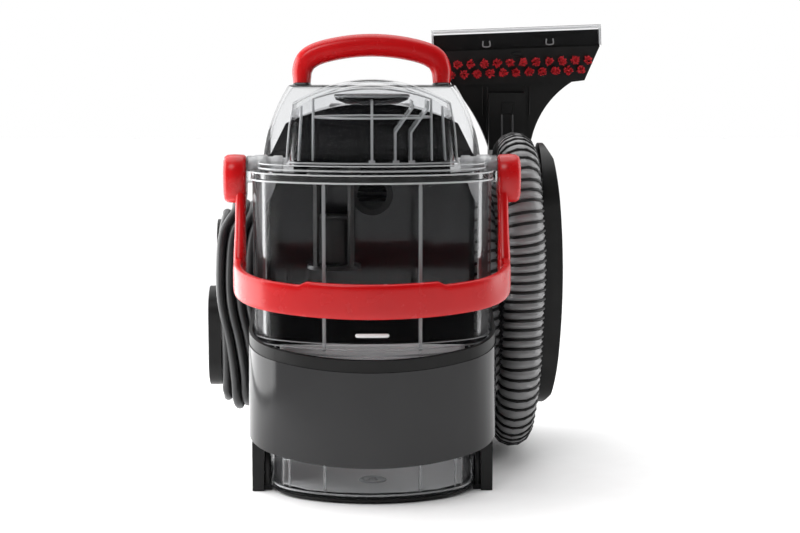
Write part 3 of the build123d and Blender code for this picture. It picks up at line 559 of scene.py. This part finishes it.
# ---- shared curves ------------------------------------------------------------------
def plan_line(half, front, big, small, back, steps=14):
    """The tanks' bowed outline, from rear left round the front to rear right."""
    cx = half - small
    cy = front + big - math.sqrt((big - small) ** 2 - cx**2)
    turn = math.asin(cx / (big - small))
    points = [(-half, back), (-half, 0.5 * (back + cy))]
    for k in range(steps + 1):
        a = math.pi / 2 - k / steps * (math.pi / 2 - turn)
        points.append((-cx - small * math.sin(a), cy - small * math.cos(a)))
    for k in range(1, 2 * steps):
        a = turn - k / steps * turn
        points.append((-big * math.sin(a), front + big - big * math.cos(a)))
    points += [(-x, y) for x, y in points[:steps + 3][::-1]]
    return [Vector((x * MM, y * MM, 0)) for x, y in points]


def bead(name, outline, z, width, height, material, body):
    """A thin moulded bead that runs round an outline at a height."""
    line = [p + Vector((0, 0, z * MM)) for p in outline]
    return sweep(name, line, rounded(height * MM, width * MM, 3, 8), material, body,
                 up=(0, 0, 1))


def upright(name, x, y, z0, z1, width, depth, material, body, slot, lean=0.0):
    """A slim standing rib with rounded edges."""
    stations = []
    for t in (0.0, 0.02, 0.5, 0.98, 1.0):
        share = 0.55 if t in (0.0, 1.0) else 1.0
        centre = Vector(((x + lean * t) * MM, y * MM, (z0 + (z1 - z0) * t) * MM))
        stations.append((centre, (1, 0, 0), (0, 1, 0),
                         rounded(width * share * MM, depth * share * MM, 4, 12)))
    return loft(name, stations, material, body)


def lathe(name, centre, axis, profile, material, body, around=40):
    """A turned piece: profile is (radius, distance along the axis) in millimetres."""
    turn = Vector((0, 0, 1)).rotation_difference(Vector(axis)).to_matrix()
    verts = []
    for r, h in profile:
        for j in range(around):
            a = 2 * math.pi * j / around
            verts.append(Vector(centre) * MM
                         + turn @ Vector((r * math.cos(a), r * math.sin(a), h)) * MM)
    return piece(name, verts, grid_faces(len(profile), around), material, body)


# ---- bail ---------------------------------------------------------------------------
PIVOT_Y, PIVOT_Z = -88.0, 253.0
BAR_Z, BAR_HEIGHT, BAR_THICK, BAR_RISE = 155.8, 23.0, 6.8, 0.18
BAR_FRONT, LIP_HEIGHT, LIP_HALF = -205, 3.0, 50
ARM_X, HEAD_Z = 103.0, 242.3


def bail_bar():
    """The bowed bar, with its raised lip in the middle of the top edge."""
    line = plan_line(103.5, -196.5, 156.5, 56.5, -104.0)
    stations = []
    for p, (tangent, _, _) in zip(line, frames_along(line, (0, 0, 1))):
        out = Vector((tangent.y, -tangent.x, 0))
        lift = LIP_HEIGHT * max(0.0, min(1.0, (LIP_HALF - abs(p.x / MM)) / 3 + 0.5)) * MM
        section = [(u, v + (lift if v > 0 else 0.0))
                   for u, v in rounded(BAR_THICK * MM, BAR_HEIGHT * MM, 5, 32)]
        climb = (BAR_Z + BAR_RISE * (p.y / MM - BAR_FRONT)) * MM
        stations.append((p + Vector((0, 0, climb)), out, (0, 0, 1), section))
    return loft("bail_bar", stations, RED, "bail")


bar = bail_bar()
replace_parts(bar, "bail")
ARM = ((164, -111, 8.6, 18), (166, -111, 9.4, 22), (176, -111, 9.6, 23), (186, -109.5, 9.4, 20),
       (198, -105, 8.6, 16.5), (210, -100.5, 8.2, 15), (221, -96.5, 8.2, 15.5),
       (234, -92.5, 8.4, 18), (246, -89.5, 8.4, 22), (254, -88, 8, 22), (259, -88, 7, 17))
HEAD = ((98.9, 13.5), (99.4, 15.4), (101, 16.6), (108, 17.0), (113.5, 16.6), (115.8, 15.2),
        (116.8, 12.4), (116.9, 6.0))
for side, hand in HANDS:
    stations = [(Vector((side * ARM_X, y, z)) * MM, (1, 0, 0), (0, 1, 0),
                 rounded(t * MM, w * MM, 3.4, 24)) for z, y, t, w in ARM]
    loft("bail_arm_" + hand, stations, RED, "bail")
    stations = []
    for x, r in HEAD:
        section = rounded(2 * r * 0.92 * MM, 2 * (r + 2.2) * MM, 2.6, 32)
        stations.append((Vector((side * x, PIVOT_Y, HEAD_Z)) * MM, (0, 1, 0), (0, 0, 1), section))
    loft("bail_head_" + hand, stations, RED, "bail")
    lathe("pivot_cone_" + hand, (side * 84, PIVOT_Y, 246), (0.12 * side, 0, -1),
          [(1, -1), (8.5, 0), (9.2, 2), (9.0, 8), (7.4, 15), (4.8, 21), (2.2, 24), (0.4, 25)],
          RIB_HIGHLIGHT, "tank", 28)
    lathe("pivot_sleeve_" + hand, (side * 70, PIVOT_Y, 254), (side, 0, 0),
          [(5.4, 0), (6.4, 0.6), (6.4, 7), (5.6, 8), (5.6, 12), (7.0, 13), (7.0, 22),
           (6.2, 23), (6.2, 28.2), (5.2, 28.4)], RIB_HIGHLIGHT, "tank", 24)


# ---- carry handle -------------------------------------------------------------------
GRIP_Y, FOOT_X, FOOT_Z = 106, 62.6, 312.8
SHOE = ((312.4, 17, 28), (313.2, 17, 28), (314.2, 15.9, 25), (315.4, 15.0, 24))


def carry_handle():
    """A bowed grip on two legs, fuller in the middle, flared at its feet."""
    half = [(-FOOT_X, FOOT_Z), (-FOOT_X, 319), (-62.2, 326.5), (-58.8, 334.2), (-52, 339.4),
            (-42, 343.0), (-28, 346.0), (-14, 347.8), (0, 348.4)]
    points = half + [(-x, z) for x, z in half[:-1][::-1]]
    line = smooth_line([(x * MM, GRIP_Y * MM, z * MM) for x, z in points], 4)
    stations = []
    for p, (_, side, up) in zip(line, frames_along(line, (0, 1, 0))):
        along = min(1.0, (p.z / MM - FOOT_Z) / 24.0)
        thick = 15.2 + 5.2 * along
        wide = 23.4 - 1.2 * along
        stations.append((p, side, up, rounded(wide * MM, thick * MM, 3.0, 28)))
    return loft("carry_grip", stations, RED, "clean")


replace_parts(carry_handle(), "carry_handle")
for side, hand in HANDS:
    stations = [(Vector((side * FOOT_X, GRIP_Y, z)) * MM, (1, 0, 0), (0, 1, 0),
                 rounded(w * MM, d * MM, 3, 24)) for z, w, d in SHOE]
    loft("handle_shoe_" + hand, stations, CHARCOAL, "clean")


# ---- trigger ------------------------------------------------------------------------
GRIP_FOOT, GRIP_RUN, GRIP_CLIMB = (126, 121, 118), 51, 120
COIL_TURNS, COIL_R, COIL_WIRE = 4, 2.5, 0.8
COIL_START, COIL_LENGTH, COIL_Z = 11.1, 4.5, 64


def on_grip(x, y, z):
    """A point drawn about the upright grip, in metres, after the grip leans back."""
    lean = math.atan2(GRIP_RUN, GRIP_CLIMB)
    return MM * Vector((GRIP_FOOT[0] + x,
                        GRIP_FOOT[1] + y * math.cos(lean) + z * math.sin(lean),
                        GRIP_FOOT[2] - y * math.sin(lean) + z * math.cos(lean)))


def trigger_coil():
    """The trigger's return spring, which closes up between the grip and the lever."""
    line, steps = [], 32 * COIL_TURNS
    for k in range(steps + 1):
        a = 2 * math.pi * COIL_TURNS * k / steps
        line.append(on_grip(COIL_R * math.cos(a), COIL_START + COIL_LENGTH * k / steps,
                            COIL_Z + COIL_R * math.sin(a)))
    coil = sweep("trigger_coil", line, rounded(COIL_WIRE * MM, COIL_WIRE * MM, 2, 8), STEEL,
                 None)
    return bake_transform(coil)


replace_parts(trigger_coil(), "trigger_spring")


# ---- dirty tank ---------------------------------------------------------------------
WELL = plan_line(78.2, -168.3, 103.2, 43.2, -47.5)
BODY = plan_line(91.6, -166.6, 128.6, 43.6, -47.5)
RIM = plan_line(94.2, -169.2, 131.2, 46.2, -47.0)
# Beads, ribs and boss of the dirty tank are drawn in the whitish rib finish: painted highlight.
for z, outline, wide, tall in ((113.4, BODY, 1.0, 1.6), (118.2, BODY, 1.0, 1.2),
                               (122.4, BODY, 0.8, 0.8), (243.6, RIM, 0.9, 1.4),
                               (249.4, RIM, 0.9, 1.2), (6.2, WELL, 1.0, 1.6)):
    bead(f"tank_bead_{int(z)}", outline, z, wide, tall, RIB_HIGHLIGHT, "tank")
RIB_X = 36.4
WELL_Z, BODY_Z = (7, 104), (116, 243)
for x in (-RIB_X, RIB_X):
    upright(f"well_rib_{int(x)}", x, -159.4, *WELL_Z, 2.6, 3.4, RIB_HIGHLIGHT, "tank", "clear_plastic")
    upright(f"body_rib_{int(x)}", x, -158.8, *BODY_Z, 2.8, 3.6, RIB_HIGHLIGHT, "tank", "clear_plastic")
for x in (-64, 64):
    upright(f"well_side_rib_{x}", x, -143.5, *WELL_Z, 1.8, 3.0, RIB_HIGHLIGHT, "tank", "clear_plastic")
for x, y in ((-84.5, -100), (84.5, -100)):
    upright(f"body_side_rib_{int(x)}", x, y, 118, 240, 3.0, 2.0, RIB_HIGHLIGHT, "tank", "clear_plastic")
lathe("well_boss", (0, -120, 6.2), (0, 0, 1),
      [(11, 0), (11, 0.8), (9.4, 1.6), (7.6, 1.6), (6.8, 0.7), (3.6, 0.7), (3.0, 2.2), (0.6, 2.6)],
      RIB_HIGHLIGHT, "tank")


def well_liner():
    """The lower tank's textured rear wall and floor, which catch the light."""
    half = [(-77.5, -52), (-77.5, -104), (-70, -128), (-50, -148), (-26, -157), (0, -159.5)]
    outline = half + [(-x, y) for x, y in half[:-1][::-1]]
    verts = []
    for z in (6.0, 6.6):
        verts += [Vector((x, y, z)) * MM for x, y in outline]
    count = len(outline)
    faces = [tuple(range(count))[::-1], tuple(range(count, 2 * count))]
    faces += [(k, (k + 1) % count, count + (k + 1) % count, count + k) for k in range(count)]
    piece("well_floor", verts, faces, FROST, "tank", smooth=False)
    stations = []
    for k in range(25):
        x = -76.0 + 152.0 * k / 24
        ripple = 0.25 * math.cos(0.5 * x)
        stations.append((Vector((x, -50.5 + ripple, 55)) * MM, (0, 1, 0), (0, 0, 1),
                         rounded(0.8 * MM, 96 * MM, 8, 16)))
    loft("well_back", stations, FROST, "tank")


well_liner()


MARK_HALF, MARK_TALL, MARK_Z = 12.9, 1.5, 129.3
TANK_FRONT, TANK_CURVE = -168.25, 130


def fill_mark():
    """A plain white line printed on the tank's front, round at its ends."""
    verts, count = [], 24
    for k in range(count + 1):
        x = -MARK_HALF + 2 * MARK_HALF * k / count
        y = TANK_FRONT + TANK_CURVE - math.sqrt(TANK_CURVE**2 - x**2)
        past = max(0.0, abs(x) - (MARK_HALF - MARK_TALL))
        end = MARK_TALL * math.sqrt(max(0.0, 1 - past**2 / 2.3))
        for dy, dz in ((0.0, -end), (0.0, end), (0.25, end), (0.25, -end)):
            verts.append(Vector((x, y + dy, MARK_Z + dz)) * MM)
    return piece("fill_mark", verts, grid_faces(count + 1, 4), WHITE, "tank")


fill_mark()


# ---- lid ----------------------------------------------------------------------------
LID_EDGE = plan_line(88.2, -161.0, 125, 40, -50.0)
bead("lid_bead_low", LID_EDGE, 252.2, 1.0, 1.4, RIB_HIGHLIGHT, "lid")
bead("lid_bead_high", LID_EDGE, 255.8, 1.0, 1.0, RIB_HIGHLIGHT, "lid")
CHAMBER = plan_line(65.6, -149.6, 129.6, 25.6, -52.4)
bead("chamber_foot", CHAMBER, 257.2, 1.2, 1.6, RIB_HIGHLIGHT, "lid")


CHAMBER_FRONT, CHAMBER_CURVE = -149.4, 129.6


def chamber_front(x):
    """The chamber's bowed front wall, as y at an x."""
    return CHAMBER_FRONT + CHAMBER_CURVE - math.sqrt(CHAMBER_CURVE**2 - min(abs(x), 60.0) ** 2)


def crown_line(name, x0, x1, z_side, z_mid, inset, width):
    """A moulded line that follows the chamber's arched crown."""
    line = []
    for k in range(25):
        x = x0 + (x1 - x0) * k / 24
        z = z_mid - (z_mid - z_side) * (x / max(abs(x0), abs(x1))) ** 2
        line.append(Vector((x, chamber_front(x) + inset, z)) * MM)
    return sweep(name, line, rounded(width * MM, 1.2 * MM, 3, 8), RIB_HIGHLIGHT, "lid",
                 up=(0, 1, 0))


crown_line("crown_edge", -59.0, 59.0, 302.0, 318.6, 1.0, 1.4)
crown_line("crown_step", -44.0, 44.0, 306.0, 313.5, 1.6, 0.9)
for side, hand in HANDS:
    corner = smooth_line([(side * x * MM, (-126 - 0.16 * (66 - x)) * MM, z * MM)
                           for x, z in ((65.4, 257), (64.4, 272), (62.6, 288), (59.6, 302))], 4)
    sweep("chamber_corner_" + hand, corner, rounded(2.2 * MM, 1.4 * MM, 3, 10), RIB_HIGHLIGHT, "lid",
          up=(0, 1, 0))
for x, z1, lean in ((-56.5, 300, 2.6), (-45.5, 306, 0.6), (46.0, 306, -0.6), (56.5, 300, -2.6)):
    upright(f"chamber_rib_{int(x)}", x, -118, 258, z1, 1.6, 26, RIB_HIGHLIGHT, "lid", "clear_plastic",
            lean)


OUTLET_Y = -101


def hoop(name, z, radius, flatness):
    """A thin ring moulded in the chamber, level with the deck."""
    count = 64
    line = [Vector((radius * math.cos(2 * math.pi * k / count),
                    OUTLET_Y + flatness * radius * math.sin(2 * math.pi * k / count), z)) * MM
            for k in range(count)]
    stations = []
    for k, p in enumerate(line):
        along = (line[(k + 1) % count] - line[k - 1]).normalized()
        stations.append((p, along.cross(Vector((0, 0, 1))), (0, 0, 1),
                         rounded(1.3 * MM, 1.5 * MM, 2.5, 8)))
    return loft(name, stations, RIB_HIGHLIGHT, "lid", closed=True)


hoop("outlet_ring_high", 307.0, 29, 0.9)
hoop("outlet_ring_low", 291.0, 46, 0.85)
lathe("outlet_dish", (0, OUTLET_Y, 300), (0, 0, 1),
      [(27, 8.4), (28.4, 8.0), (27.6, 5), (20, 2.2), (8, 1.0), (8, 0.2), (20, 1.2), (28.2, 4.4),
       (29.4, 8.4), (27, 8.8)], CLEAR, "lid", 48)


# ---- clean tank ---------------------------------------------------------------------
MARK_COUNT, MARK_LOW, MARK_STEP = 4, 90, 35


def rear_line(half, back, small, front, steps=12):
    """The clean tank's outline: flat in front, bowed and rounded behind."""
    return [Vector((-p.x, -p.y, 0)) for p in plan_line(half, back, 240, small, front, steps)]


for z in (30.0, 60.0, 236.0):
    bead(f"clean_bead_{int(z)}", rear_line(97.2, -147.2, 40.2, -81.0), z, 1.0, 1.6, REAR_EDGE,
         "clean")
for x in (-52, 0, 52):
    upright(f"clean_rib_{x}", x, 142.6 if x == 0 else 139.6, 44, 232, 2.4, 4.0, REAR_EDGE,
            "clean", "clear_plastic")
for k in range(MARK_COUNT):
    z = MARK_LOW + MARK_STEP * k
    upright(f"level_mark_{k}", 71, 142.4, z, z + 1.4, 20, 0.8, WHITE, "clean", "grey_plastic")


# ---- tool ---------------------------------------------------------------------------
TILT = Matrix.Rotation(math.radians(-2.2), 3, "Y")
TOOL_PIVOT = Vector((135, 0, 340))
TUFT_ROWS, TUFTS, TUFT_STEP = ((333, 79.4), (324, 72.8)), 11, 12.13
HAIRS, TUFT_R, HAIR_R = 64, 3.1, 0.50


def on_head(x, y, z):
    """A point of the tool's head, in metres, after the head's small tilt."""
    return (TILT @ (Vector((x, y, z)) - TOOL_PIVOT) + TOOL_PIVOT) * MM


def bristles():
    """Two staggered rows of red tufts, each a splayed bunch of short bristles."""
    dice = random.Random(11)
    verts, faces = [], []
    for z, start in TUFT_ROWS:
        for k in range(TUFTS):
            for _ in range(HAIRS):
                a, r = dice.uniform(0, 2 * math.pi), TUFT_R * math.sqrt(dice.random())
                splay, tip = dice.uniform(1.15, 1.55), dice.uniform(152.7, 154.2)
                u, v = r * math.cos(a), r * math.sin(a)
                base = len(verts)
                for y, grow, thick in ((161.0, 1.0, HAIR_R),
                                       (157.0, 1.0 + 0.4 * (splay - 1), HAIR_R),
                                       (tip, splay, 0.72 * HAIR_R)):
                    for j in range(5):
                        b = 2 * math.pi * j / 5
                        verts.append(on_head(
                            start + TUFT_STEP * k + u * grow + thick * math.cos(b), y,
                            z + v * grow + thick * math.sin(b)))
                for face in grid_faces(3, 5):
                    faces.append(tuple(base + i for i in face))
    return piece("bristle_bunches", verts, faces, NYLON, "tool")


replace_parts(bristles(), "bristle_tufts")
# The neck ribs are drawn in a lighter grey than the black plastic: painted sheen.
for x in (121.0, 131.0):
    upright(f"neck_rib_{int(x)}", x, 154.9, 262, 285, 1.6, 1.4, SHEEN_GREY, "tool", "black_plastic")
for x in (104.0, 108.4, 143.0, 147.4):
    upright(f"funnel_rib_{int(x)}", x, 165.6, 268 if 106 < x < 146 else 284, 311, 1.4, 1.6, BLACK,
            "tool", "black_plastic")
for x in (107, 166):
    low = [on_head(x + dx, 161.2, 348 + dz) for dx, dz in ((-3, 6), (-3, 1), (3, 1), (3, 6))]
    sweep(f"window_clip_{x}", smooth_line(low, 5), rounded(1.2 * MM, 1.2 * MM, 3, 8), GREY,
          "tool", up=(0, 1, 0))
# The window's clear lip and sides are drawn in the whitish rib finish: a painted highlight along
# the edge.
top_edge = [on_head(56.5 + 157 * k / 20, 163.7, 363.4) for k in range(21)]
sweep("window_lip", top_edge, rounded(3.4 * MM, 2.2 * MM, 2.4, 12), RIB_HIGHLIGHT, "tool",
      up=(0, 1, 0))
for x in (57.2, 212.8):
    side_edge = [on_head(x, 163.4, 347 + 15 * k / 8) for k in range(9)]
    sweep(f"window_side_{int(x)}", side_edge, rounded(2.0 * MM, 4.0 * MM, 3, 12), RIB_HIGHLIGHT, "tool",
          up=(1, 0, 0))


# ---- small parts on the body --------------------------------------------------------
def racetrack(x, y, z0, z1, r, steps=16):
    """A standing racetrack line at one x, in metres."""
    line = []
    for k in range(steps + 1):
        a = math.pi * k / steps
        line.append(Vector((x, y + r * math.cos(a), z1 + r * math.sin(a))) * MM)
    for k in range(steps + 1):
        a = math.pi * k / steps
        line.append(Vector((x, y - r * math.cos(a), z0 - r * math.sin(a))) * MM)
    return line


def closed_bead(name, line, width, height, material, body):
    """A thin moulded bead round a closed line that stands across X."""
    stations = []
    for k, p in enumerate(line):
        along = (line[(k + 1) % len(line)] - line[k - 1]).normalized()
        stations.append((p, (1, 0, 0), along.cross(Vector((1, 0, 0))),
                         rounded(height * MM, width * MM, 3, 8)))
    return loft(name, stations, material, body, closed=True)


# The groove's bead is drawn in the same lighter grey: painted sheen.
closed_bead("flange_groove_bead", racetrack(155.2, 22.5, 100, 206, 36), 2.0, 1.6, SHEEN_GREY, "root")
closed_bead("hook_plate_edge", racetrack(-137.6, 10, 81, 122, 20.8), 1.8, 2.0, GREY,
            "cord_hook")
for k, z in enumerate((60, 236)):
    for x in (-48, 48):
        lathe(f"screw_head_{k}_{'l' if x < 0 else 'r'}", (x, 77.4, z), (0, 1, 0),
              [(3.9, -1.6), (4.0, 0), (3.2, 0.9), (1.5, 1.0), (1.3, 0.2), (0.3, 0.1)], STEEL,
              "root", 20)


def ring_mark(name, centre, radius, body):
    """An open ring printed on a button."""
    x, y, z = centre
    line = [Vector((x + radius * math.cos(0.35 * k), y + radius * math.sin(0.35 * k), z)) * MM
            for k in range(2, 17)]
    return sweep(name, line, rounded(0.5 * MM, 0.9 * MM, 3, 8), WHITE, body,
                 up=(0, 0, 1))


BUTTON_X, BUTTON_TOP = 24, 298.05
ring_mark("power_ring", (-BUTTON_X, 48, BUTTON_TOP), 3.6, "power")
for k in (-1, 0, 1):
    wave = [Vector((BUTTON_X + 3.4 * k + 0.7 * math.sin(1.2 * j), 44.5 + j, BUTTON_TOP)) * MM
            for j in range(8)]
    sweep(f"heat_wave_{k + 1}", wave, rounded(0.5 * MM, 0.8 * MM, 3, 8), WHITE, "heat",
          up=(0, 0, 1))
for side, hand in HANDS:
    upright("cheek_flange_" + hand, side * 82.4, -124, 3.5, 34, 4.0, 3.0, BLACK, "root",
            "black_plastic")
